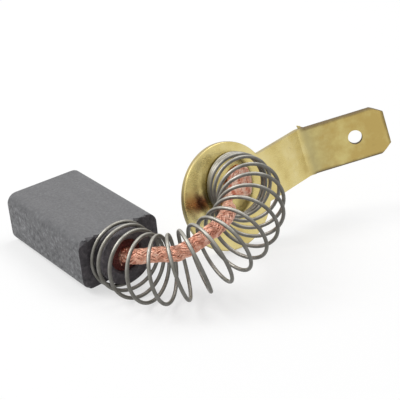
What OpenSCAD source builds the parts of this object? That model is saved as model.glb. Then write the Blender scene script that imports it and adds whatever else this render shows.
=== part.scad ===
// Carbon brush: a pressed carbon block with a braided copper lead tamped into its boss, a round
// wire compression spring bent back over the lead, and a stamped brass disc with a blade tab.
// Millimetres, +Z up. The part is drawn on the block's own axes (origin in the middle of the
// block's inner end, +X towards the spring) and then laid down as it comes to rest.

/* [Carbon block] */
// Length of the block from the contact face to the inner end
block_length = 16.8; // [14:0.1:20]
// Width of the block
block_width = 10.6; // [10:0.1:12]
// Thickness of the block
block_thickness = 6.35; // [6.1:0.05:6.8]
// Radius on the four long edges
edge_radius = 1.3; // [0.8:0.05:1.5]
// Diameter of the boss that carries the spring
boss_diameter = 6.7; // [6.4:0.1:6.8]
// Length of the boss
boss_length = 2; // [1.8:0.1:2.4]
// Bore in the boss for the lead
bore_diameter = 4; // [3.6:0.1:4.4]
// Depth of the bore from the end of the boss
bore_depth = 7; // [6:0.5:9]

/* [Lead] */
// Diameter over the braid
lead_diameter = 1.85; // [1.6:0.05:2]
// Depth of the valleys between the strands
braid_relief = 0.12; // [0.05:0.01:0.16]
// Length of one full turn of a strand
braid_lay = 5.2; // [4:0.1:7]
// Length of lead buried in the boss
lead_buried = 5; // [3:0.5:5]
// Depth of the copper powder below the end of the boss
powder_depth = 0.55; // [0.3:0.05:0.8]

/* [Spring] */
// Wire diameter
wire_diameter = 0.45; // [0.4:0.01:0.46]
// Mean radius of the coils
coil_radius = 3.83; // [3.75:0.01:3.9]
// Number of turns
turns = 17.6; // [16:0.1:18]
// Pitch of the closed end coils
closed_pitch = 0.5; // [0.48:0.01:0.52]
// Growth of the open pitch from the block to the disc
pitch_growth = 0.74; // [0.5:0.01:0.9]

/* [Terminal] */
// Diameter of the disc
disc_diameter = 13.4; // [13:0.1:14]
// Thickness of the brass sheet
sheet = 0.8; // [0.7:0.05:0.8]
// Width of the neck and the blade
blade_width = 6.3; // [6:0.1:6.4]
// Length of the neck from the disc's edge to the fold
neck_length = 7.4; // [6:0.1:9]
// Fall of the neck below the face of the disc, degrees
neck_fall = 8.8; // [5:0.1:12]
// Fold between the neck and the blade, degrees
blade_fold = 45.7; // [30:0.5:60]
// Length of the blade past the fold
blade_length = 11; // [10:0.1:12]
// Diameter of the hole in the blade
hole_diameter = 1.85; // [1.6:0.05:2]
// Distance from the fold to the hole
hole_offset = 6.75; // [6:0.05:7.2]

/* [Which sub-part] */

/* [Hidden] */
$fn = 96;
clear = 0.02;
// Middle of the spring, beside the middle of the block
axis_y = -0.3;
// Middle of the boss, and of its bore, which is drilled a little high
boss_at = [-0.2, 0.08];
bore_at = [-0.2, 0.2];
// The pressed block sits slightly askew to its turned boss
block_at = [0.05, -0.07];
block_roll = 1.2;

// Resting attitude: the disc's rim, the first coils and one corner of the block touch the ground,
// and the middle of the part lies over the origin
rest_turn = [6.08, -1.477, 0];
rest_shift = [1.7204, -17.2132, 4.163];

// Disc: middle of its inner face, and its attitude
disc_at = [-1.2, 16.75, 0.67];
disc_turn = [73.96, -3.65, 94.6];
// Where the spring and the lead meet the disc, on the disc's own axes
seat_at = [1.03, 1.18];

carbon = [0.20, 0.20, 0.21];
copper = [0.80, 0.46, 0.34];
powder = [0.36, 0.13, 0.09];
steel = [0.56, 0.56, 0.54];
brass = [0.80, 0.70, 0.38];

// ---------- vector helpers ----------
function unit(v) = v / norm(v);
function square_to(v, t) = unit(v - (v * t) * t);
function smooth(x) = let (c = min(1, max(0, x))) c * c * (3 - 2 * c);
function bezier(k, t) = len(k) == 1 ? k[0]
    : bezier([for (i = [0:len(k) - 2]) k[i] * (1 - t) + k[i + 1] * t], t);
function slope(k, t) = unit(bezier([for (i = [0:len(k) - 2]) k[i + 1] - k[i]], t));
function turn_x(p, a) = [p[0], p[1] * cos(a) - p[2] * sin(a), p[1] * sin(a) + p[2] * cos(a)];
function turn_y(p, a) = [p[0] * cos(a) + p[2] * sin(a), p[1], p[2] * cos(a) - p[0] * sin(a)];
function turn_z(p, a) = [p[0] * cos(a) - p[1] * sin(a), p[0] * sin(a) + p[1] * cos(a), p[2]];
function turned(p, r) = turn_z(turn_y(turn_x(p, r[0]), r[1]), r[2]);
function on_disc(p) = disc_at + turned(p, disc_turn);

// A tube through rings of points, closed at both ends
module skin(rings) {
    n = len(rings[0]);
    m = len(rings);
    polyhedron(
        points = [for (r = rings) each r],
        faces = concat(
            [[for (j = [0:n - 1]) j]],
            [for (i = [0:m - 2], j = [0:n - 1]) [i * n + j, (i + 1) * n + j, (i + 1) * n + (j + 1) % n]],
            [for (i = [0:m - 2], j = [0:n - 1]) [i * n + j, (i + 1) * n + (j + 1) % n, i * n + (j + 1) % n]],
            [[for (j = [n - 1:-1:0]) (m - 1) * n + j]]));
}

module laid() {
    translate(rest_shift) rotate(rest_turn) children();
}

module along_x(x) {
    translate([x, 0, 0]) rotate([90, 0, 90]) children();
}

module on_terminal() {
    translate(disc_at) rotate(disc_turn) children();
}

// ---------- carbon block ----------
module block_section() {
    w = block_width;
    t = block_thickness;
    r = edge_radius;
    square([w - 2 * r, t], center = true);
    square([w, t - 2 * r], center = true);
    for (y = [-1, 1], z = [-1, 1]) translate([y * (w / 2 - r), z * (t / 2 - r)]) circle(r);
}

module pressed(x, h) {
    along_x(x) linear_extrude(h) translate(block_at) rotate(block_roll) block_section();
}

// Flakes broken from the inner edges, on the section's axes: place, roll about the block's length,
// length along the edge, run-out angle, lean
flakes = [[[-4.89, 2.79], 45, 1, 17, 44], [[-3.6, 3.17], 0, 0.95, -19, 48], [[-2.75, 3.17], 0, 0.6, -22, 36],
          [[-2.05, 3.17], 0, 0.55, 14, 46], [[2.75, 3.17], 0, 0.6, -30, 40], [[3.6, 3.17], 0, 0.7, 13, 52],
          [[-0.6, -3.17], 0, 7.4, 3.6, -44], [[-4.92, -2.81], -45, 0.9, 14, -44]];

module flake(f) {
    translate([0, block_at[0], block_at[1]]) rotate([block_roll, 0, 0])
        translate([0, f[0][0], f[0][1]]) rotate([f[1], 0, 0]) rotate([0, -f[4], 0])
            translate([-f[2] / 2 * tan(abs(f[3])), 0, 0]) rotate([0, 0, f[3]])
                translate([0, -f[2] / 2, -1.2]) cube([1, f[2], 2.4]);
}

// The boss is turned on the end of the pressed block, so the block's upper face cuts a flat on it
module carbon_block() color(carbon) laid() difference() {
    union() {
        difference() {
            pressed(-block_length, block_length);
            for (f = flakes) flake(f);
        }
        intersection() {
            along_x(-1) translate(boss_at) cylinder(d = boss_diameter, h = boss_length + 1);
            pressed(-1, boss_length + 1);
        }
    }
    along_x(boss_length - bore_depth) translate(bore_at) cylinder(d = bore_diameter, h = bore_depth + 1);
    along_x(boss_length - 0.2) translate(bore_at)
        cylinder(d1 = bore_diameter, d2 = bore_diameter + 0.6, h = 0.3);
}

// Copper powder tamped round the lead, dished where the punch pressed it
module tamping_plug() color(powder) laid()
    along_x(boss_length - bore_depth) translate(bore_at) difference() {
        rotate_extrude() polygon([
            [0, clear], [bore_diameter / 2 - clear, clear],
            [bore_diameter / 2 - clear, bore_depth - powder_depth],
            [bore_diameter / 2 - 0.35, bore_depth - powder_depth - 0.12],
            [lead_diameter / 2 + 0.3, bore_depth - powder_depth],
            [0, bore_depth - powder_depth + 0.2]]);
        translate([0, 0, bore_depth - lead_buried - clear])
            cylinder(d = lead_diameter + 2 * clear, h = bore_depth + 1);
    }

// ---------- braided lead ----------
// The end of the lead is beaten flat and welded on, on the disc's own axes: x, y and height of its
// middle, heading, fall, half width, half thickness
foot = [[-1.24, -0.45, 0.9, -8, 57, 0.62, 0.66],
        [-0.6, 0.03, 0.6, 36, 27, 0.62, 0.5],
        [-0.14, 0.27, 0.46, 32, 13, 0.72, 0.42],
        [0.35, 0.42, 0.38, 31, 5, 0.98, 0.35],
        [1, 0.52, 0.32, 33.7, 0, 1.6, 0.29],
        [1.72, 0.65, 0.3, 36, 0, 2.1, 0.28],
        [2.25, 1.3, 0.29, 39, 0, 1.95, 0.27],
        [2.67, 1.93, 0.28, 44, 0, 1.56, 0.26],
        [2.97, 2.45, 0.27, 48, 0, 1.05, 0.24],
        [3.14, 2.66, 0.25, 50, 0, 0.7, 0.2]];
foot_start = on_disc([foot[0][0], foot[0][1], foot[0][2]]);
foot_side = turned([-sin(foot[0][3]), cos(foot[0][3]), 0], disc_turn);
root_inset = 0.5;
lead_root = [boss_length - root_inset, bore_at[0], bore_at[1]];
lead_path = [lead_root, [4.6, -0.2, 0.2], [5.76, 3.78, 2.28], [6.78, 3.86, -0.2],
             [7.58, 1.41, 0.78], [11.65, 2.76, 5.13], [13.31, 7.52, 5.66], foot_start];
lead_steps = 104;
lead_sides = 20;

function heading(a, fall) = [cos(a) * cos(fall), sin(a) * cos(fall), -sin(fall)];
function lead_at(t) = t < 0 ? lead_root + [t * (lead_buried - root_inset), 0, 0] : bezier(lead_path, t);
function lead_dir(t) = t < 0 ? [1, 0, 0] : slope(lead_path, t);
function strand(a, s) = max(abs(cos(2.5 * (a + 360 * s / braid_lay))), abs(cos(2.5 * (a - 360 * s / braid_lay))));
function rounded(c, k) = sign(c) * pow(abs(c), k);

module shunt_lead() color(copper) laid() {
    ts = concat([for (i = [0:7]) -1 + i / 8], [for (i = [0:lead_steps]) i / lead_steps]);
    round_part = [for (t = ts)
        let (p = lead_at(t), d = lead_dir(t), a = square_to(foot_side, d), b = cross(d, a),
             s = t < 0 ? t * (lead_buried - root_inset) : t * 26, w = smooth((t - 0.82) / 0.18))
        [for (j = [0:lead_sides - 1])
            let (f = 360 * j / lead_sides,
                 r = lead_diameter / 2 * (1 - w) + foot[0][5] * w - braid_relief * (1 - strand(f, s)) * 2)
            p + r * (cos(f) * a + sin(f) * b)]];
    flat_part = [for (i = [1:len(foot) - 1])
        let (q = foot[i], k = 1 - 0.5 * min(1, i / 3), d = heading(q[3], q[4]),
             a = [-sin(q[3]), cos(q[3]), 0], b = cross(d, a))
        [for (j = [0:lead_sides - 1])
            let (f = 360 * j / lead_sides)
            on_disc([q[0], q[1], q[2]] + q[5] * rounded(cos(f), k) * a + q[6] * rounded(sin(f), k) * b)]];
    skin(concat(round_part, flat_part));
}

// ---------- compression spring ----------
seat_rise = wire_diameter / 2 + 0.09;
spring_from = wire_diameter / 2 + clear;
spring_straight = 2.45;
first_turn = -0.488;
seat = on_disc([seat_at[0], seat_at[1], seat_rise]);
seat_normal = turned([0, 0, 1], disc_turn);
spring_path = [[spring_straight, axis_y, 0], [10.25, axis_y, 0], [10.85, 7.1, 0.35],
               [12.3, 14.8, 4.3], seat + 2.65 * seat_normal, seat];
path_steps = 160;
path_points = [for (i = [0:path_steps]) bezier(spring_path, i / path_steps)];
path_run = [for (i = 0, s = 0; i <= path_steps;
                 s = s + (i < path_steps ? norm(path_points[i + 1] - path_points[i]) : 0), i = i + 1) s];
path_table = [for (i = [0:path_steps]) [path_run[i], i / path_steps]];
spring_run = spring_straight - spring_from + path_run[path_steps];

steps_a_turn = 24;
wire_sides = 8;
spring_steps = round(turns * steps_a_turn);
function opening(u) = (1 + pitch_growth * (u / turns - 0.5)) * smooth((u - 0.21) / 1.37)
    * smooth((turns - 2.17 - u) / 1.07);
opened = [for (i = [0:spring_steps]) opening(i * turns / spring_steps)];
opened_sum = [for (i = 0, s = 0; i <= spring_steps;
                   s = s + (i < spring_steps ? (opened[i] + opened[i + 1]) / 2 : 0), i = i + 1) s];
open_gain = (spring_run - closed_pitch * turns) / opened_sum[spring_steps];

function axis_at(s) = s < 0 ? [spring_straight + s, axis_y, 0]
    : bezier(spring_path, min(1, lookup(s, path_table)));
function axis_dir(s) = s < 0 ? [1, 0, 0] : slope(spring_path, min(1, lookup(s, path_table)));
// The open coils hang a little over the first turns
function sag(s) = 0.26 * smooth(s / 2.2) * (1 - smooth((s - 5.5) / 4));
function coil_out(i) =
    let (s = closed_pitch * turns * i / spring_steps + open_gain * opened_sum[i]
             - (spring_straight - spring_from),
         d = axis_dir(s), a = square_to([0, 0, 1], d), b = cross(d, a),
         f = 360 * (first_turn + turns * i / spring_steps))
    [axis_at(s) - [0, 0, sag(s)], cos(f) * a + sin(f) * b];

module compression_spring() color(steel) laid() {
    c = [for (i = [0:spring_steps]) coil_out(i)];
    w = [for (i = [0:spring_steps]) c[i][0] + coil_radius * c[i][1]];
    skin([for (i = [0:spring_steps])
        let (d = unit(w[min(i + 1, spring_steps)] - w[max(i - 1, 0)]),
             a = square_to(c[i][1], d), b = cross(d, a))
        [for (j = [0:wire_sides - 1])
            w[i] + wire_diameter / 2 / cos(180 / wire_sides)
                * (cos(360 * (j + 0.5) / wire_sides) * a + sin(360 * (j + 0.5) / wire_sides) * b)]]);
}

// ---------- brass terminal ----------
fold_inside = 0.8;
root_inside = 0.6;
blade_bevel = 0.2;
root_reach = (root_inside + sheet) * tan(neck_fall / 2);
fold_reach = fold_inside * tan(blade_fold / 2);

// Middle line of the sheet seen from the side, as [x, z, heading]
function ahead(p, d) = [p[0] + d * cos(p[2]), p[1] + d * sin(p[2]), p[2]];
function bent(p, angle, inside, n) = [for (i = [1:n])
    let (a = angle * i / n, r = sign(angle) * (inside + sheet / 2))
    [p[0] + r * (sin(p[2] + a) - sin(p[2])), p[1] - r * (cos(p[2] + a) - cos(p[2])), p[2] + a]];
function beside(p, d) = [p[0] - d * sin(p[2]), p[1] + d * cos(p[2])];

neck_from = [disc_diameter / 2 - root_reach - 2, -sheet / 2, 0];
root_bend = bent(ahead(neck_from, 2), -neck_fall, root_inside, 3);
neck_to = ahead(root_bend[2], neck_length - root_reach - fold_reach);
blade_bend = bent(neck_to, blade_fold, fold_inside, 12);
blade_from = blade_bend[11];
blade_run = blade_length - fold_reach;
blade_thin = ahead(blade_from, blade_run - 0.7);
blade_to = ahead(blade_from, blade_run);

module strip_profile() {
    line = concat([neck_from, ahead(neck_from, 2)], root_bend, [neck_to], blade_bend, [blade_thin]);
    h = sheet / 2;
    polygon(concat(
        [for (p = line) beside(p, h)],
        [beside(blade_to, h - blade_bevel), beside(blade_to, blade_bevel - h)],
        [for (i = [len(line) - 1:-1:0]) beside(line[i], -h)]));
}

module on_blade() {
    translate([blade_from[0], 0, blade_from[1]]) rotate([0, -blade_from[2], 0]) children();
}

// Cut corners, bevelled edges and the hole, on the blade's own axes
module blade_cuts() {
    w = blade_width / 2;
    h = sheet / 2;
    b = blade_bevel;
    l = blade_run;
    linear_extrude(4, center = true) {
        polygon([[l - 3, -w - 1.1], [l + 1.5, -w + 2.2], [l + 1.5, -w - 1.1]]);
        polygon([[l - 3.2, w + 1], [l + 1.6, w - 2], [l + 1.6, w + 1]]);
    }
    for (y = [-1, 1], z = [-1, 1]) translate([0.4, 0, 0]) rotate([90, 0, 90]) linear_extrude(l)
        polygon([[y * (w - 2 * b), z * (h + b)], [y * (w + b), z * (h - 2 * b)], [y * (w + b), z * (h + b)]]);
    translate([hole_offset - fold_reach, 0, -2]) cylinder(d = hole_diameter, h = 4);
}

module disc_plate() {
    e = 0.2;
    r = disc_diameter / 2;
    translate([0, 0, -sheet]) rotate_extrude() {
        square([r - e, sheet]);
        translate([0, e]) square([r, sheet - 2 * e]);
        for (z = [e, sheet - e]) translate([r - e, z]) circle(e, $fn = 24);
    }
}

module brass_terminal() color(brass) laid() on_terminal() {
    disc_plate();
    difference() {
        rotate([90, 0, 0]) linear_extrude(blade_width, center = true) strip_profile();
        on_blade() blade_cuts();
    }
}

carbon_block();
tamping_plug();
shunt_lead();
compression_spring();
brass_terminal();
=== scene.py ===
import math
import random
from collections import namedtuple

import bpy
import numpy as np
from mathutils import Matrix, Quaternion, Vector


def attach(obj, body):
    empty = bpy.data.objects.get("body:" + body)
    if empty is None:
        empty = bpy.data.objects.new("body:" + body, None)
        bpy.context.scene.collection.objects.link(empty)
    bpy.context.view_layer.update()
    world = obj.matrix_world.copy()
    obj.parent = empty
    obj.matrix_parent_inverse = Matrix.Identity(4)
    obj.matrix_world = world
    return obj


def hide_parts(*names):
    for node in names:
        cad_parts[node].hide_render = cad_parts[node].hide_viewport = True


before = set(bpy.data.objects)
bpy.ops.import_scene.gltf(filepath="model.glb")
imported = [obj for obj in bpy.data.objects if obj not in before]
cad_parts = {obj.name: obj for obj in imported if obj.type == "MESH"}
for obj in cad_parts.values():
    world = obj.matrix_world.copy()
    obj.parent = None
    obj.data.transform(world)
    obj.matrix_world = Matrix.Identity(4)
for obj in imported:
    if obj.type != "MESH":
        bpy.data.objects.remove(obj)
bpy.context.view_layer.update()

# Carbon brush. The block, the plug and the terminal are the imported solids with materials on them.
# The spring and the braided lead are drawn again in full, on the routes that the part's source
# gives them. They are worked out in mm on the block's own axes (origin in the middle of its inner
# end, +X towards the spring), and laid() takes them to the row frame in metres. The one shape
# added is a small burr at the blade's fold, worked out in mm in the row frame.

MM = 0.001
X, Y, Z = np.eye(3)

# ---------------------------------------------------------------- the part's sizes, mm and degrees
REST_TURN = (6.08, -1.477, 0.0)
REST_SHIFT = np.array([1.7204, -17.2132, 4.163])
BOSS_LENGTH = 2.0
BORE_AT = (-0.2, 0.2)

# Terminal: the disc's place and turn, then the neck and the blade
DISC_AT = np.array([-1.2, 16.75, 0.67])
DISC_TURN = (73.96, -3.65, 94.6)
DISC_D = 13.4
SHEET = 0.8
BLADE_WIDTH = 6.3
BLADE_LENGTH = 11
NECK_LENGTH = 7.4
NECK_FALL = 8.8
BLADE_FOLD = 45.7
ROOT_INSIDE = 0.6
FOLD_INSIDE = 0.8
BLADE_RUN = BLADE_LENGTH - FOLD_INSIDE * math.tan(math.radians(BLADE_FOLD / 2))

# Spring: its axis runs straight over the boss, round by given points and square onto its seat
WIRE_D = 0.45
COIL_R = 3.83
TURNS = 17.6
FIRST_TURN = -0.488
CLOSED_PITCH = 0.5
PITCH_GROWTH = 0.74
AXIS_Y = -0.3
SPRING_FROM = WIRE_D / 2 + 0.02
SPRING_STRAIGHT = 2.45
SPRING_MID = [[10.25, AXIS_Y, 0], [10.85, 7.1, 0.35], [12.3, 14.8, 4.3]]
SEAT = (1.03, 1.18, WIRE_D / 2 + 0.09)
SEAT_SQUARE = 2.65
# Turns that stay closed at the block and at the disc, and those over which the coils open and close
CLOSED_FIRST, OPENS_OVER = 0.21, 1.37
CLOSED_LAST, CLOSES_OVER = 2.17, 1.07
# Sag of the first open coils: its depth, the run over which it grows, where it ends and over what
SAG, SAG_GROWS, SAG_UNTIL, SAG_FADES = 0.26, 2.2, 5.5, 4

# Lead: given points between its root in the powder and its foot on the disc. A foot row holds
# its place on the disc, its heading and fall, its half width and its half thickness. The braid is
# drawn from a little below the powder, and narrows to its foot over the last share of its route.
LEAD_D = 1.85
ROOT_INSET = 0.5
ROOT_HIDDEN = 0.8
NARROWS_AT, NARROWS_OVER = 0.8, 0.2
LEAD_MID = [[4.6, -0.2, 0.2], [5.76, 3.78, 2.28], [6.78, 3.86, -0.2],
            [7.58, 1.41, 0.78], [11.65, 2.76, 5.13], [13.31, 7.52, 5.66]]
FOOT = [[-1.24, -0.45, 0.9, -8, 57, 0.62, 0.66],
        [-0.6, 0.03, 0.6, 36, 27, 0.62, 0.5],
        [-0.14, 0.27, 0.46, 32, 13, 0.72, 0.42],
        [0.35, 0.42, 0.38, 31, 5, 0.98, 0.35],
        [1, 0.52, 0.32, 33.7, 0, 1.6, 0.29],
        [1.72, 0.65, 0.3, 36, 0, 2.1, 0.28],
        [2.25, 1.3, 0.29, 39, 0, 1.95, 0.27],
        [2.67, 1.93, 0.28, 44, 0, 1.56, 0.26],
        [2.97, 2.45, 0.27, 48, 0, 1.05, 0.24],
        [3.14, 2.66, 0.25, 50, 0, 0.7, 0.2]]


# ---------------------------------------------------------------- places and curves
def turned(degrees):
    """Turns about X, then Y, then Z, as one matrix."""
    x, y, z = (math.radians(v) for v in degrees)
    cx, sx, cy, sy, cz, sz = math.cos(x), math.sin(x), math.cos(y), math.sin(y), math.cos(z), math.sin(z)
    about_x = np.array([[1, 0, 0], [0, cx, -sx], [0, sx, cx]])
    about_y = np.array([[cy, 0, sy], [0, 1, 0], [-sy, 0, cy]])
    about_z = np.array([[cz, -sz, 0], [sz, cz, 0], [0, 0, 1]])
    return about_z @ about_y @ about_x


R_REST = turned(REST_TURN)
R_DISC = turned(DISC_TURN)


def laid(points):
    """The block's axes, mm, to the row frame, m."""
    return (np.atleast_2d(points) @ R_REST.T + REST_SHIFT) * MM


def on_disc(point):
    """The disc's axes to the block's, both mm."""
    return R_DISC @ np.asarray(point, float) + DISC_AT


def unit(v):
    return np.asarray(v, float) / np.linalg.norm(v)


def smooth(x):
    x = min(1.0, max(0.0, x))
    return x * x * (3 - 2 * x)


def bezier(k, t):
    k = np.asarray(k, float)
    while len(k) > 1:
        k = k[:-1] * (1 - t) + k[1:] * t
    return k[0]


def slope(k, t):
    k = np.asarray(k, float)
    return unit(bezier(k[1:] - k[:-1], t))


def run_along(points):
    """Distance from the first point to each of them."""
    return np.concatenate([[0], np.cumsum(np.linalg.norm(np.diff(points, axis=0), axis=1))])


def catmull(rows, steps):
    """Smooth rows through the given ones, both ends kept."""
    k = np.asarray(rows, float)
    k = np.vstack([2 * k[0] - k[1], k, 2 * k[-1] - k[-2]])
    out = []
    for i in range(1, len(k) - 2):
        for j in range(steps):
            t = j / steps
            out.append(0.5 * (2 * k[i] + (k[i + 1] - k[i - 1]) * t
                              + (2 * k[i - 1] - 5 * k[i] + 4 * k[i + 1] - k[i + 2]) * t * t
                              + (3 * k[i] - k[i - 1] - 3 * k[i + 1] + k[i + 2]) * t ** 3))
    out.append(k[-2])
    return np.array(out)


def blade_start():
    """Where the blade leaves its fold, on the disc's axes: x, z and heading of the sheet's middle."""
    def bend(x, z, h, angle, inside):
        r = math.copysign(inside + SHEET / 2, angle)
        return (x + r * (math.sin(h + angle) - math.sin(h)),
                z - r * (math.cos(h + angle) - math.cos(h)), h + angle)

    fall, fold = math.radians(NECK_FALL), math.radians(BLADE_FOLD)
    root_reach = (ROOT_INSIDE + SHEET) * math.tan(fall / 2)
    x, z, h = bend(DISC_D / 2 - root_reach, -SHEET / 2, 0.0, -fall, ROOT_INSIDE)
    flat = NECK_LENGTH - root_reach - FOLD_INSIDE * math.tan(fold / 2)
    return bend(x + flat * math.cos(h), z + flat * math.sin(h), h, fold, FOLD_INSIDE)


# Places and directions in the row frame, mm, on which the materials' masks stand
BLOCK_X = R_REST @ X
BLOCK_Z = R_REST @ Z
BLOCK_END = laid([0, 0, 0])[0] / MM
R_TERMINAL = R_REST @ R_DISC
DISC_N = R_TERMINAL @ Z
DISC_MID = laid(DISC_AT)[0] / MM
FOLD_X, FOLD_Z, BLADE_RISE = blade_start()
BLADE_DIR = R_TERMINAL @ np.array([math.cos(BLADE_RISE), 0, math.sin(BLADE_RISE)])
BLADE_SIDE = R_TERMINAL @ Y
BLADE_N = R_TERMINAL @ np.array([-math.sin(BLADE_RISE), 0, math.cos(BLADE_RISE)])
FOLD_AT = laid(on_disc([FOLD_X, 0, FOLD_Z]))[0] / MM - SHEET / 2 * BLADE_N


# ---------------------------------------------------------------- node graphs
class Graph:
    """A node tree, with short ways to add nodes to it and to link them."""

    def __init__(self, tree):
        self.tree = tree

    def new(self, kind, **sockets):
        n = self.tree.nodes.new("ShaderNode" + kind)
        for name, value in sockets.items():
            self.put(value, n.inputs[name])
        return n

    def put(self, value, socket):
        if isinstance(value, bpy.types.NodeSocket):
            self.tree.links.new(value, socket)
        else:
            socket.default_value = value

    def math(self, operation, a, b=0.0):
        n = self.new("Math")
        n.operation = operation
        self.put(a, n.inputs[0])
        self.put(b, n.inputs[1])
        return n.outputs[0]

    def add(self, a, b):
        return self.math("ADD", a, b)

    def subtract(self, a, b):
        return self.math("SUBTRACT", a, b)

    def multiply(self, a, b):
        return self.math("MULTIPLY", a, b)

    def most(self, a, b):
        return self.math("MAXIMUM", a, b)

    def ramp(self, source, *stops):
        """Stops of (position, grey level or colour)."""
        n = self.new("ValToRGB")
        elements = n.color_ramp.elements
        while len(elements) < len(stops):
            elements.new(0.5)
        for element, (position, level) in zip(elements, stops):
            element.position = position
            element.color = (*level, 1) if hasattr(level, "__len__") else (level, level, level, 1)
        self.put(source, n.inputs[0])
        return n.outputs[0]

    def mix(self, share, a, b, blend="MIX"):
        n = self.new("Mix")
        n.data_type = "RGBA"
        n.blend_type = blend
        self.put(share, n.inputs[0])
        for value, socket in ((a, n.inputs[6]), (b, n.inputs[7])):
            self.put((*value, 1) if isinstance(value, tuple) else value, socket)
        return n.outputs[2]

    def blend_shaders(self, share, a, b):
        n = self.new("MixShader")
        self.put(share, n.inputs[0])
        self.put(a, n.inputs[1])
        self.put(b, n.inputs[2])
        return n.outputs[0]

    def seen_directly(self):
        """1 for what the camera sees, straight, mirrored or through glass."""
        path = self.new("LightPath").outputs
        mirrored = self.most(path["Is Camera Ray"], path["Is Glossy Ray"])
        return self.most(mirrored, path["Is Transmission Ray"])


class Look(Graph):
    """A procedural material on the part's own millimetres."""

    def __init__(self, name):
        self.material = bpy.data.materials.new(name)
        self.material.use_nodes = True
        super().__init__(self.material.node_tree)
        self.shader = self.tree.nodes["Principled BSDF"]

    def place(self, stretch=(1, 1, 1)):
        mapping = self.new("Mapping", Scale=tuple(s / MM for s in stretch))
        self.put(self.new("TexCoord").outputs["Object"], mapping.inputs[0])
        return mapping.outputs[0]

    def noise(self, per_mm, detail, roughness, stretch=(1, 1, 1)):
        n = self.new("TexNoise", Scale=per_mm, Detail=detail, Roughness=roughness,
                     Vector=self.place(stretch))
        return n.outputs["Fac"]

    def dot(self, vector, direction):
        n = self.new("VectorMath")
        n.operation = "DOT_PRODUCT"
        self.put(vector, n.inputs[0])
        self.put(tuple(direction), n.inputs[1])
        return n.outputs["Value"]

    def facing(self, direction):
        """Cosine between the surface and a fixed direction."""
        return self.dot(self.new("NewGeometry").outputs["Normal"], direction)

    def along(self, origin, axis):
        """Distance in mm from a place, in a fixed direction."""
        return self.subtract(self.dot(self.place(), axis), float(np.dot(origin, axis)))

    def ragged_patch(self, u, w, size, ragged):
        """A patch with a ragged rim round a place on the disc's face."""
        n = self.new("VectorMath")
        n.operation = "DISTANCE"
        self.put(self.place(), n.inputs[0])
        self.put(tuple(laid(on_disc([u, w, 0]))[0] / MM), n.inputs[1])
        reach = self.add(self.math("DIVIDE", n.outputs["Value"], size), ragged)
        return self.ramp(reach, (0.62, 1.0), (1.0, 0.0))

    def finish(self, color, metallic, roughness, height, strength, depth):
        self.put(color, self.shader.inputs["Base Color"])
        self.put(metallic, self.shader.inputs["Metallic"])
        self.put(roughness, self.shader.inputs["Roughness"])
        bump = self.new("Bump", Strength=strength, Distance=depth * MM, Height=height)
        self.put(bump.outputs[0], self.shader.inputs["Normal"])
        return self.material


# ---------------------------------------------------------------- materials
def rubbed_carbon(look, cloud, speck):
    """The rubbed upper face: faint bands along the block and fine specks."""
    drag = look.noise(0.55, 4, 0.6, (0.26, 1.5, 1.5))
    rubbed = look.ramp(drag, (0.30, (0.121, 0.121, 0.125)), (0.50, (0.129, 0.129, 0.133)),
                       (0.70, (0.138, 0.138, 0.142)))
    rubbed = look.mix(look.ramp(cloud, (0.40, 0.0), (0.68, 0.30)), rubbed, (0.105, 0.105, 0.109))
    rubbed = look.mix(look.ramp(speck, (0.36, 0.55), (0.50, 0.0)), rubbed, (0.080, 0.080, 0.084))
    return look.mix(look.ramp(speck, (0.54, 0.0), (0.68, 0.50)), rubbed, (0.200, 0.200, 0.206))


def carbon_material():
    look = Look("pressed_carbon")
    grain = look.noise(4.5, 5, 0.65)
    fine = look.noise(11.0, 3, 0.6)
    blotch = look.noise(1.9, 4, 0.62)
    cloud = look.noise(0.30, 3, 0.5)
    speck = look.noise(3.2, 4, 0.7)
    upward = look.facing(BLOCK_Z)
    top = look.ramp(upward, (0.80, 0.0), (0.97, 1.0))
    end = look.ramp(look.facing(BLOCK_X), (0.55, 0.0), (0.80, 1.0))

    # open, speckled side faces under the rubbed top
    rough = look.ramp(blotch, (0.30, (0.045, 0.045, 0.048)), (0.43, (0.100, 0.101, 0.105)),
                      (0.56, (0.140, 0.141, 0.146)), (0.70, (0.235, 0.238, 0.246)))
    color = look.mix(top, rough, rubbed_carbon(look, cloud, speck))

    # painted shade: the long rounded edges, plain and a little darker, where the block turns from its top
    # to its side
    shaded_round_edge = look.ramp(upward, (0.25, 0.0), (0.55, 0.6), (0.88, 0.6), (0.98, 0.0))
    color = look.mix(shaded_round_edge, color, (0.092, 0.092, 0.096))

    # painted shade: the inner end and the boss, which face away from the light, painted darker
    dark = look.ramp(blotch, (0.30, (0.030, 0.027, 0.031)), (0.52, (0.060, 0.053, 0.060)),
                     (0.72, (0.115, 0.103, 0.112)))
    boss = look.ramp(look.multiply(look.along(BLOCK_END, BLOCK_X), 2.0), (0.05, 0.0), (0.30, 1.0))
    color = look.mix(look.most(end, boss), color, dark)
    color = look.mix(look.ramp(fine, (0.64, 0.0), (0.76, 0.22)), color, (0.30, 0.30, 0.31))

    # pits and grain, faint on the rubbed face
    pits = look.ramp(blotch, (0.30, 0.0), (0.46, 1.0))
    pitted = look.multiply(look.add(pits, look.multiply(grain, 0.9)), look.subtract(1.15, top))
    height = look.add(look.multiply(look.add(grain, fine), 0.35), pitted)
    look.shader.inputs["Specular IOR Level"].default_value = 0.45
    return look.finish(color, 0.0, look.ramp(grain, (0.3, 0.66), (0.7, 0.46)), height, 0.55, 0.06)


def powder_material():
    look = Look("tamped_copper_powder")
    grain = look.noise(5.5, 5, 0.7)
    color = look.ramp(grain, (0.3, (0.034, 0.006, 0.006)), (0.5, (0.095, 0.016, 0.012)),
                      (0.74, (0.21, 0.050, 0.035)))
    return look.finish(color, 0.3, look.ramp(grain, (0.3, 0.85), (0.7, 0.55)), grain, 0.9, 0.12)


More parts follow.
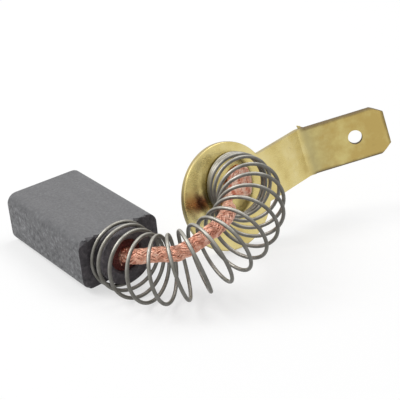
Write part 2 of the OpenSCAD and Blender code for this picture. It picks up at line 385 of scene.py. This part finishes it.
def copper_material():
    look = Look("copper_wire")
    tone = look.noise(1.5, 3, 0.5)
    lobes = look.noise(1.05, 2, 0.45)
    fine = look.noise(12.0, 3, 0.6)
    color = look.ramp(tone, (0.30, (0.42, 0.130, 0.080)), (0.44, (0.66, 0.310, 0.210)),
                      (0.56, (0.78, 0.440, 0.330)), (0.72, (0.93, 0.680, 0.570)))

    # painted light: paler and lighter towards the disc, where the coils shade the lead
    over_disc = look.along(DISC_MID, DISC_N)
    painted_light_near_disc = look.ramp(look.multiply(over_disc, 0.07), (0.20, 0.42), (0.50, 0.26), (0.85, 0.0))
    color = look.mix(painted_light_near_disc, color, (0.99, 0.64, 0.47))

    # the weld: pink fused lobes with brick-red hollows, in colours lifted as painted light where the coils
    # shade it
    weld = look.ramp(look.multiply(over_disc, 0.2), (0.35, 1.0), (0.85, 0.0))
    fused = look.ramp(lobes, (0.38, (0.60, 0.100, 0.045)), (0.46, (0.86, 0.420, 0.280)),
                      (0.59, (0.98, 0.720, 0.590)))
    color = look.mix(look.multiply(weld, 0.75), color, fused)

    height = look.add(look.multiply(fine, 0.4), lobes)
    return look.finish(color, 0.65, look.ramp(fine, (0.3, 0.52), (0.7, 0.36)), height, 0.3, 0.02)


def steel_material():
    look = Look("spring_steel_wire")
    tone = look.noise(0.9, 5, 0.6)
    fine = look.noise(14.0, 3, 0.6)
    color = look.ramp(tone, (0.3, (0.27, 0.258, 0.222)), (0.5, (0.36, 0.346, 0.308)),
                      (0.7, (0.45, 0.437, 0.400)))
    # painted shade: darker on the undersides, away from the light
    underside_shade = look.ramp(look.facing((-0.45, -0.35, 0.82)), (0.0, 0.45), (0.40, 0.72), (0.80, 1.0))
    color = look.mix(1.0, color, underside_shade, "MULTIPLY")
    return look.finish(color, 0.8, look.ramp(fine, (0.3, 0.50), (0.7, 0.38)), fine, 0.3, 0.008)


def tarnished(look, color, blade, past_fold, smear):
    """Tarnish on the blade: greenish by the fold, browner towards its end."""
    green = look.ramp(look.subtract(smear, look.multiply(past_fold, 0.03)), (0.38, 0.0), (0.58, 0.75))
    brown = look.ramp(look.add(look.multiply(past_fold, 0.035), smear), (0.50, 0.0), (0.76, 0.95))
    for share, tint in ((0.75, (0.600, 0.505, 0.200)), (green, (0.46, 0.43, 0.22)),
                        (brown, (0.50, 0.365, 0.120))):
        color = look.mix(look.multiply(blade, share), color, tint)
    return color


def disc_patches(look, color, smear):
    """Dark patches on the disc's face, each by its place on the disc, size, depth and tint; the two by the
    rim are a painted reflection of the dark block.
    """
    brown, deep_brown = (0.30, 0.150, 0.055), (0.120, 0.058, 0.032)
    for u, w, size, depth, tint in ((-5.1, 1.3, 3.8, 0.70, brown), (-4.3, 1.1, 3.0, 0.95, deep_brown),
                                    (-0.3, -4.6, 2.2, 0.35, brown)):
        color = look.mix(look.multiply(look.ragged_patch(u, w, size, smear), depth), color, tint)
    return color


def worn_dark(look, color, blade, past_fold, smear):
    """Wear along the blade's long edges and its end."""
    across = look.math("ABSOLUTE", look.along(FOLD_AT, BLADE_SIDE))
    past_end = look.subtract(past_fold, BLADE_RUN - BLADE_WIDTH / 2)
    rim = look.subtract(look.most(across, past_end), 2.6)
    worn = look.ramp(look.add(rim, look.multiply(smear, 0.5)), (0.36, 0.0), (0.72, 0.90))
    return look.mix(look.multiply(blade, worn), color, (0.190, 0.140, 0.062))


def edge_dull_and_shaded(look, blade):
    """How dull and dark the sheet's cut edges are, partly their own tarnish and partly painted shade: half
    on the disc, most on the blade, none on the faces.
    """
    flat = look.most(look.math("ABSOLUTE", look.facing(DISC_N)),
                     look.math("ABSOLUTE", look.facing(BLADE_N)))
    edge = look.ramp(flat, (0.62, 1.0), (0.86, 0.0))
    return look.multiply(edge, look.add(look.multiply(blade, 0.45), 0.50))


def brass_material():
    look = Look("rolled_brass")
    cloud = look.noise(0.30, 4, 0.6)
    spots = look.noise(1.1, 5, 0.65)
    smear = look.noise(0.42, 5, 0.62)
    lines = look.noise(6.0, 4, 0.7, (1.4, 0.16, 1.4))
    past_fold = look.along(FOLD_AT, BLADE_DIR)
    blade = look.ramp(look.add(look.multiply(past_fold, 0.5), 0.5), (0.35, 0.0), (0.75, 1.0))
    from_bend = look.math("ABSOLUTE", look.subtract(past_fold, 0.4))
    dull = edge_dull_and_shaded(look, blade)

    color = look.ramp(cloud, (0.3, (0.56, 0.44, 0.165)), (0.5, (0.66, 0.545, 0.225)),
                      (0.7, (0.71, 0.61, 0.30)))
    color = tarnished(look, color, blade, past_fold, smear)
    color = look.mix(look.ramp(spots, (0.60, 0.0), (0.76, 0.40)), color, (0.36, 0.24, 0.085))
    # the metal bent in the fold is duller
    color = look.mix(look.ramp(from_bend, (0.0, 0.50), (1.5, 0.0)), color, (0.40, 0.33, 0.16))
    # dark patches on the disc, those by the rim a painted reflection of the dark block
    color = disc_patches(look, color, smear)
    color = worn_dark(look, color, blade, past_fold, smear)
    # cut edges darker: partly their tarnish, partly painted shade
    color = look.mix(dull, color, (0.125, 0.090, 0.048))

    roughness = look.ramp(cloud, (0.3, 0.27), (0.7, 0.19))
    for mask, more in ((lines, 0.07), (blade, 0.10), (dull, 0.40)):
        roughness = look.add(roughness, look.multiply(mask, more))
    metallic = look.subtract(1.0, look.multiply(dull, 0.6))
    height = look.add(lines, look.multiply(cloud, 2.0))
    return look.finish(color, metallic, roughness, height, 0.12, 0.03)


MATERIALS = {
    "carbon": carbon_material(),
    "copper_powder": powder_material(),
    "copper_braid": copper_material(),
    "spring_steel": steel_material(),
    "sheet_brass": brass_material(),
}


def dress(ob, slot):
    ob.data.materials.clear()
    ob.data.materials.append(MATERIALS[slot])
    for polygon in ob.data.polygons:
        polygon.material_index = 0


dress(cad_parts["carbon_block"], "carbon")
dress(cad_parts["tamping_plug"], "copper_powder")
dress(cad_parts["brass_terminal"], "sheet_brass")
dress(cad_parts["shunt_lead"], "copper_braid")
dress(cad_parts["compression_spring"], "spring_steel")


# ---------------------------------------------------------------- meshes
def new_mesh(name, verts, faces):
    mesh = bpy.data.meshes.new(name)
    mesh.from_pydata([tuple(v) for v in verts], [], faces)
    mesh.update()
    mesh.polygons.foreach_set("use_smooth", [True] * len(mesh.polygons))
    ob = bpy.data.objects.new(name, mesh)
    bpy.context.scene.collection.objects.link(ob)
    return ob


def tube_faces(base, rings, sides):
    """Faces of a tube with closed ends, whose vertices start at base, ring after ring."""
    faces = []
    for i in range(rings - 1):
        a, b = base + i * sides, base + (i + 1) * sides
        for j in range(sides):
            k = (j + 1) % sides
            faces.append((a + j, a + k, b + k, b + j))
    faces.append(tuple(base + j for j in reversed(range(sides))))
    faces.append(tuple(base + (rings - 1) * sides + j for j in range(sides)))
    return faces


def sweep(points, radius, sides, ups=None):
    """Rings round a line of points, turned to the ups or without twist."""
    p = np.asarray(points, float)
    d = np.gradient(p, axis=0)
    d /= np.linalg.norm(d, axis=1)[:, None]
    if ups is None:
        a = np.zeros_like(p)
        v = Z if abs(d[0][2]) < 0.9 else X
        for i in range(len(p)):
            v = v - (v @ d[i]) * d[i]
            v /= np.linalg.norm(v)
            a[i] = v
    else:
        a = ups - (ups * d).sum(1)[:, None] * d
        a /= np.linalg.norm(a, axis=1)[:, None]
    b = np.cross(d, a)
    turn = np.arange(sides) * 2 * math.pi / sides
    ring = np.cos(turn)[None, :, None] * a[:, None] + np.sin(turn)[None, :, None] * b[:, None]
    return (p[:, None] + radius * ring).reshape(-1, 3)


# ---------------------------------------------------------------- spring
def opening(u):
    """How far the coils stand open after u turns: closed at both ends, growing between."""
    opens = smooth((u - CLOSED_FIRST) / OPENS_OVER)
    closes = smooth((TURNS - CLOSED_LAST - u) / CLOSES_OVER)
    return (1 + PITCH_GROWTH * (u / TURNS - 0.5)) * opens * closes


def sag(s):
    """How far the coils hang, a run of s past the straight part of the axis."""
    return SAG * smooth(s / SAG_GROWS) * (1 - smooth((s - SAG_UNTIL) / SAG_FADES))


def spring_middles(path, a_turn):
    """Middle of the wire and the direction out from the axis, ring by ring."""
    path_steps, steps_a_turn = 160, 24  # as in the part's source, so that the coils fall alike
    run = run_along(np.array([bezier(path, i / path_steps) for i in range(path_steps + 1)]))
    straight_run = SPRING_STRAIGHT - SPRING_FROM

    # the pitch, added up turn by turn and stretched so that the coils fill the axis
    steps = round(TURNS * steps_a_turn)
    opened = np.array([opening(i * TURNS / steps) for i in range(steps + 1)])
    opened_sum = np.concatenate([[0], np.cumsum((opened[1:] + opened[:-1]) / 2)])
    open_gain = (straight_run + run[-1] - CLOSED_PITCH * TURNS) / opened_sum[-1]

    rings = round(TURNS * a_turn) + 1
    middles, outs = [], []
    for i in range(rings):
        g = i / (rings - 1) * steps
        k = min(int(g), steps - 1)
        opened_here = opened_sum[k] + (opened_sum[k + 1] - opened_sum[k]) * (g - k)
        s = CLOSED_PITCH * TURNS * g / steps + open_gain * opened_here - straight_run
        if s < 0:
            at, d = np.array([SPRING_STRAIGHT + s, AXIS_Y, 0]), X
        else:
            t = min(1.0, float(np.interp(s, run, np.linspace(0, 1, path_steps + 1))))
            at, d = bezier(path, t), slope(path, t)
        a = unit(Z - d[2] * d)
        f = 2 * math.pi * (FIRST_TURN + TURNS * g / steps)
        out = math.cos(f) * a + math.sin(f) * np.cross(d, a)
        middles.append(at + COIL_R * out - sag(s) * Z)
        outs.append(out)
    return middles, np.array(outs)


def build_spring():
    rings_a_turn, sides = 64, 14
    seat = on_disc(SEAT)
    path = [[SPRING_STRAIGHT, AXIS_Y, 0]] + SPRING_MID + [seat + SEAT_SQUARE * (R_DISC @ Z), seat]
    middles, outs = spring_middles(path, rings_a_turn)
    verts = sweep(middles, WIRE_D / 2, sides, outs)
    ob = new_mesh("spring_wire", laid(verts), tube_faces(0, len(middles), sides))
    dress(ob, "spring_steel")
    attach(ob, "root")
    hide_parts("compression_spring")


# ---------------------------------------------------------------- burr of the shear at the fold
def build_burr():
    """A torn sliver that stands off the blade's upper corner, where it folds."""
    rnd = random.Random(11)
    rings, sides = 7, 10
    tall, long_at_foot, thick_at_foot = 0.42, 0.30, 0.17
    from_edge, curl, tear = 0.09, 0.10, 0.12
    foot_at = FOLD_AT + (BLADE_WIDTH / 2 - from_edge) * BLADE_SIDE - SHEET / 2 * BLADE_N
    lean = unit(0.9 * BLADE_SIDE - 0.45 * BLADE_DIR)
    verts = []
    for t in np.linspace(0, 1, rings):
        mid = foot_at + tall * t * lean - curl * t * t * BLADE_DIR
        long, thick = long_at_foot * (1 - 0.75 * t ** 1.5), thick_at_foot * (1 - 0.8 * t)
        for j in range(sides):
            f = 2 * math.pi * j / sides
            torn = 1 + rnd.uniform(-tear, tear)
            verts.append(mid + torn * (long * math.cos(f) * BLADE_DIR + thick * math.sin(f) * BLADE_N))
    ob = new_mesh("shear_burr", np.array(verts) * MM, tube_faces(0, rings, sides))
    dress(ob, "sheet_brass")
    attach(ob, "root")


# ---------------------------------------------------------------- braided lead
# A cross section of the lead: its middle, two directions, half sizes, and 1 for an oval outline
# or less for a squarer one
Station = namedtuple("Station", "mid side up wide thick square")

# Braid: carriers of side-by-side wires, woven over and under those that wind the other way.
# WIRE_STEP is the angle between neighbouring wires and LOOSE the most that a carrier strays, in
# radians. The backs of the wires lie WIRE_UNDER the lead's outline, and the core CORE_UNDER it.
BRAID_WIRE_R = 0.074
BRAID_LAY = 9.6
CARRIERS_EACH_WAY = 6
WIRES_A_CARRIER = 4
WIRE_STEP = 0.172
LOOSE = 0.12
WIRE_UNDER = 0.06
WEAVE, WEAVE_MOST = 0.112, 0.055
CORE_UNDER, FOOT_CORE_UNDER, CORE_LEAST = 0.215, 0.15, 0.05

# The wires wind slower in the foot, from a little before it, and its weave flattens
FLATTENS_OVER = 2.0
SLOW_BEFORE, SLOWED = 0.2, 0.25

# Torn wire ends, from a ring round the lead at the powder
TORN_WIRES = 26
TORN_WIRE_R = BRAID_WIRE_R * 0.9
TORN_AHEAD, TORN_OUT = 0.75, 0.86


def disc_side(heading):
    """Across a heading on the disc, in the block's axes."""
    h = math.radians(heading)
    return R_DISC @ np.array([-math.sin(h), math.cos(h), 0])


def disc_way(heading, fall):
    """Along a heading that falls towards the disc, in the block's axes."""
    h, fall = math.radians(heading), math.radians(fall)
    return R_DISC @ np.array([math.cos(h) * math.cos(fall), math.sin(h) * math.cos(fall), -math.sin(fall)])


def lead_stations():
    """Cross sections along the lead, the distance run to each, and the length of its round part."""
    route_points, count, foot_steps = 401, 150, 5
    root = np.array([BOSS_LENGTH - ROOT_INSET, BORE_AT[0], BORE_AT[1]])
    path = np.array([root] + LEAD_MID + [on_disc(FOOT[0][:3])])
    route = np.array([bezier(path, t) for t in np.linspace(0, 1, route_points)])
    route = np.vstack([root - ROOT_HIDDEN * X, route])
    run = run_along(route)
    at = np.linspace(0, run[-1], count)
    mid = np.stack([np.interp(at, run, route[:, c]) for c in range(3)], axis=1)
    d = np.gradient(mid, axis=0)
    d /= np.linalg.norm(d, axis=1)[:, None]
    first_side = disc_side(FOOT[0][3])
    side = first_side - (d @ first_side)[:, None] * d
    side /= np.linalg.norm(side, axis=1)[:, None]
    up = np.cross(d, side)
    stations = []
    for i in range(count - 1):
        w = smooth((at[i] / run[-1] - NARROWS_AT) / NARROWS_OVER)
        half = LEAD_D / 2 * (1 - w) + FOOT[0][5] * w
        stations.append(Station(mid[i], side[i], up[i], half, half, 1.0))
    for i, (x, y, z, heading, fall, wide, thick) in enumerate(catmull(FOOT, foot_steps)):
        across = disc_side(heading)
        # the outline grows squarer over the foot's first three rows
        square = 1 - 0.5 * min(1.0, i / (3 * foot_steps))
        stations.append(Station(on_disc([x, y, z]), across, np.cross(disc_way(heading, fall), across),
                                wide, thick, square))
    return stations, run_along(np.array([q.mid for q in stations])), at[-1]


def rim_point(q, f, wide, thick):
    """A point at angle f round a station's outline, for the given half sizes."""
    def squared(c):
        return math.copysign(abs(c) ** q.square, c)

    return q.mid + wide * squared(math.cos(f)) * q.side + thick * squared(math.sin(f)) * q.up


def core_rings(stations, sides):
    """The core that closes the gaps between the wires."""
    verts = []
    for q in stations:
        under = CORE_UNDER if q.square == 1.0 else FOOT_CORE_UNDER
        wide, thick = q.wide - under, max(q.thick - under, CORE_LEAST)
        for j in range(sides):
            verts.append(rim_point(q, 2 * math.pi * j / sides, wide, thick))
    return verts


def braid_line(stations, dist, round_run, hand, start, lift, waves):
    """One wire's middle line, woven over and under the carriers of the other hand."""
    line = []
    slow_from = round_run - SLOW_BEFORE
    for q, s in zip(stations, dist):
        flattened = smooth((s - round_run + FLATTENS_OVER / 2) / FLATTENS_OVER)
        wound = min(s, slow_from) + SLOWED * max(0.0, s - slow_from)
        f = hand * 2 * math.pi * wound / BRAID_LAY + start
        # a slow and a quick waver, so that no two wires run alike
        f += 0.08 * math.sin(1.3 * s + waves[0]) + 0.04 * math.sin(3.7 * s + waves[1])
        weave = hand * WEAVE * math.cos(2 * math.pi * CARRIERS_EACH_WAY * wound / BRAID_LAY)
        weave = max(-WEAVE_MOST, min(WEAVE_MOST, weave * (1 - 0.6 * flattened)))
        out = -BRAID_WIRE_R - WIRE_UNDER + weave + lift + 0.012 * math.sin(2.3 * s + waves[2])
        line.append(rim_point(q, f, q.wide + out, q.thick + out * (1 - 0.4 * flattened)))
    return line


def torn_line(rnd, root, near):
    """A broken wire end that stands off the powder at the lead's root."""
    f = rnd.uniform(0, 2 * math.pi)
    out = math.cos(f) * near.side + math.sin(f) * near.up
    a = root + TORN_AHEAD * X + TORN_OUT * out
    b = a + rnd.uniform(0.35, 0.8) * X + rnd.uniform(0.02, 0.22) * out
    b = b + rnd.uniform(-0.15, 0.15) * Y + rnd.uniform(-0.1, 0.2) * Z
    c = b + rnd.uniform(0.1, 0.5) * X - rnd.uniform(0.0, 0.25) * out
    c = c + rnd.uniform(-0.2, 0.2) * Y + rnd.uniform(-0.1, 0.2) * Z
    return [a * (1 - t) ** 2 + 2 * b * t * (1 - t) + c * t * t for t in np.linspace(0, 1, 9)]


def build_lead():
    rnd = random.Random(7)
    core_sides, wire_sides = 14, 5
    stations, dist, round_run = lead_stations()
    verts = core_rings(stations, core_sides)
    faces = tube_faces(0, len(stations), core_sides)

    def add_wire(line, radius):
        faces.extend(tube_faces(len(verts), len(line), wire_sides))
        verts.extend(sweep(line, radius, wire_sides))

    for hand in (1, -1):
        for carrier in range(CARRIERS_EACH_WAY):
            loose = rnd.uniform(-LOOSE, LOOSE)
            for k in range(WIRES_A_CARRIER):
                start = 2 * math.pi * carrier / CARRIERS_EACH_WAY
                start += (k - (WIRES_A_CARRIER - 1) / 2) * WIRE_STEP + loose
                lift = rnd.uniform(-0.03, 0.02)
                waves = [rnd.uniform(0, 6.28) for _ in range(3)]
                add_wire(braid_line(stations, dist, round_run, hand, start, lift, waves), BRAID_WIRE_R)
    for _ in range(TORN_WIRES):
        add_wire(torn_line(rnd, stations[0].mid, stations[4]), TORN_WIRE_R)

    ob = new_mesh("lead_braid", laid(np.array(verts)), faces)
    dress(ob, "copper_braid")
    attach(ob, "root")
    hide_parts("shunt_lead")


build_spring()
build_burr()
build_lead()

# ---------------------------------------------------------------- camera, light, floor
CAMERA_AT = (0.114188, -0.089028, 0.070398)
CAMERA_TURN = (0.743761, 0.48899, 0.238133, 0.388587)
CAMERA_LENS = 116.365
SOFT_LIGHT = 0.42
FLOOR_HALF = 1.6
FLOOR_GREY = 0.86
FLOOR_LIFTED = 0.62
WHITE = (1, 1, 1, 1)
scene = bpy.context.scene


def build_camera():
    data = bpy.data.cameras.new("camera")
    data.sensor_width = 36
    data.lens = CAMERA_LENS
    data.clip_start = 0.005
    camera = bpy.data.objects.new("camera", data)
    camera.rotation_mode = "QUATERNION"
    camera.location = CAMERA_AT
    camera.rotation_quaternion = Quaternion(CAMERA_TURN)
    scene.collection.objects.link(camera)
    scene.camera = camera


def build_lamp(name, at, size, power):
    """A round soft lamp that looks at the origin."""
    data = bpy.data.lights.new(name, "AREA")
    data.shape = "DISK"
    data.size = size
    data.energy = power
    lamp = bpy.data.objects.new(name, data)
    lamp.location = at
    lamp.rotation_mode = "QUATERNION"
    lamp.rotation_quaternion = (-Vector(at)).to_track_quat("-Z", "Y")
    scene.collection.objects.link(lamp)


def build_world():
    """Soft light from all round, and plain white where the background is seen or mirrored."""
    world = bpy.data.worlds.new("studio")
    scene.world = world
    world.use_nodes = True
    world.node_tree.nodes.clear()
    graph = Graph(world.node_tree)
    soft = graph.new("Background", Color=WHITE, Strength=SOFT_LIGHT)
    white = graph.new("Background", Color=WHITE, Strength=1.0)
    both = graph.blend_shaders(graph.seen_directly(), soft.outputs[0], white.outputs[0])
    graph.put(both, graph.new("OutputWorld").inputs[0])


def build_floor():
    """A plain pale floor, lifted towards white for the camera, that keeps the part's shadow."""
    h = FLOOR_HALF
    mesh = bpy.data.meshes.new("floor")
    mesh.from_pydata([(-h, -h, 0), (h, -h, 0), (h, h, 0), (-h, h, 0)], [], [(0, 1, 2, 3)])
    floor = bpy.data.objects.new("floor", mesh)
    scene.collection.objects.link(floor)
    material = bpy.data.materials.new("floor_white")
    material.use_nodes = True
    material.node_tree.nodes.clear()
    graph = Graph(material.node_tree)
    pale = graph.new("BsdfDiffuse", Color=(FLOOR_GREY, FLOOR_GREY, FLOOR_GREY, 1)).outputs[0]
    white = graph.new("Emission", Color=WHITE, Strength=1.0).outputs[0]
    seen = graph.blend_shaders(FLOOR_LIFTED, pale, white)
    both = graph.blend_shaders(graph.seen_directly(), pale, seen)
    graph.put(both, graph.new("OutputMaterial").inputs[0])
    mesh.materials.append(material)


build_camera()
build_lamp("key", (-0.30, -0.42, 0.55), 0.40, 3.4)
build_lamp("top", (-0.05, 0.25, 0.65), 0.50, 2.0)
build_world()
build_floor()
scene.view_settings.view_transform = "Standard"
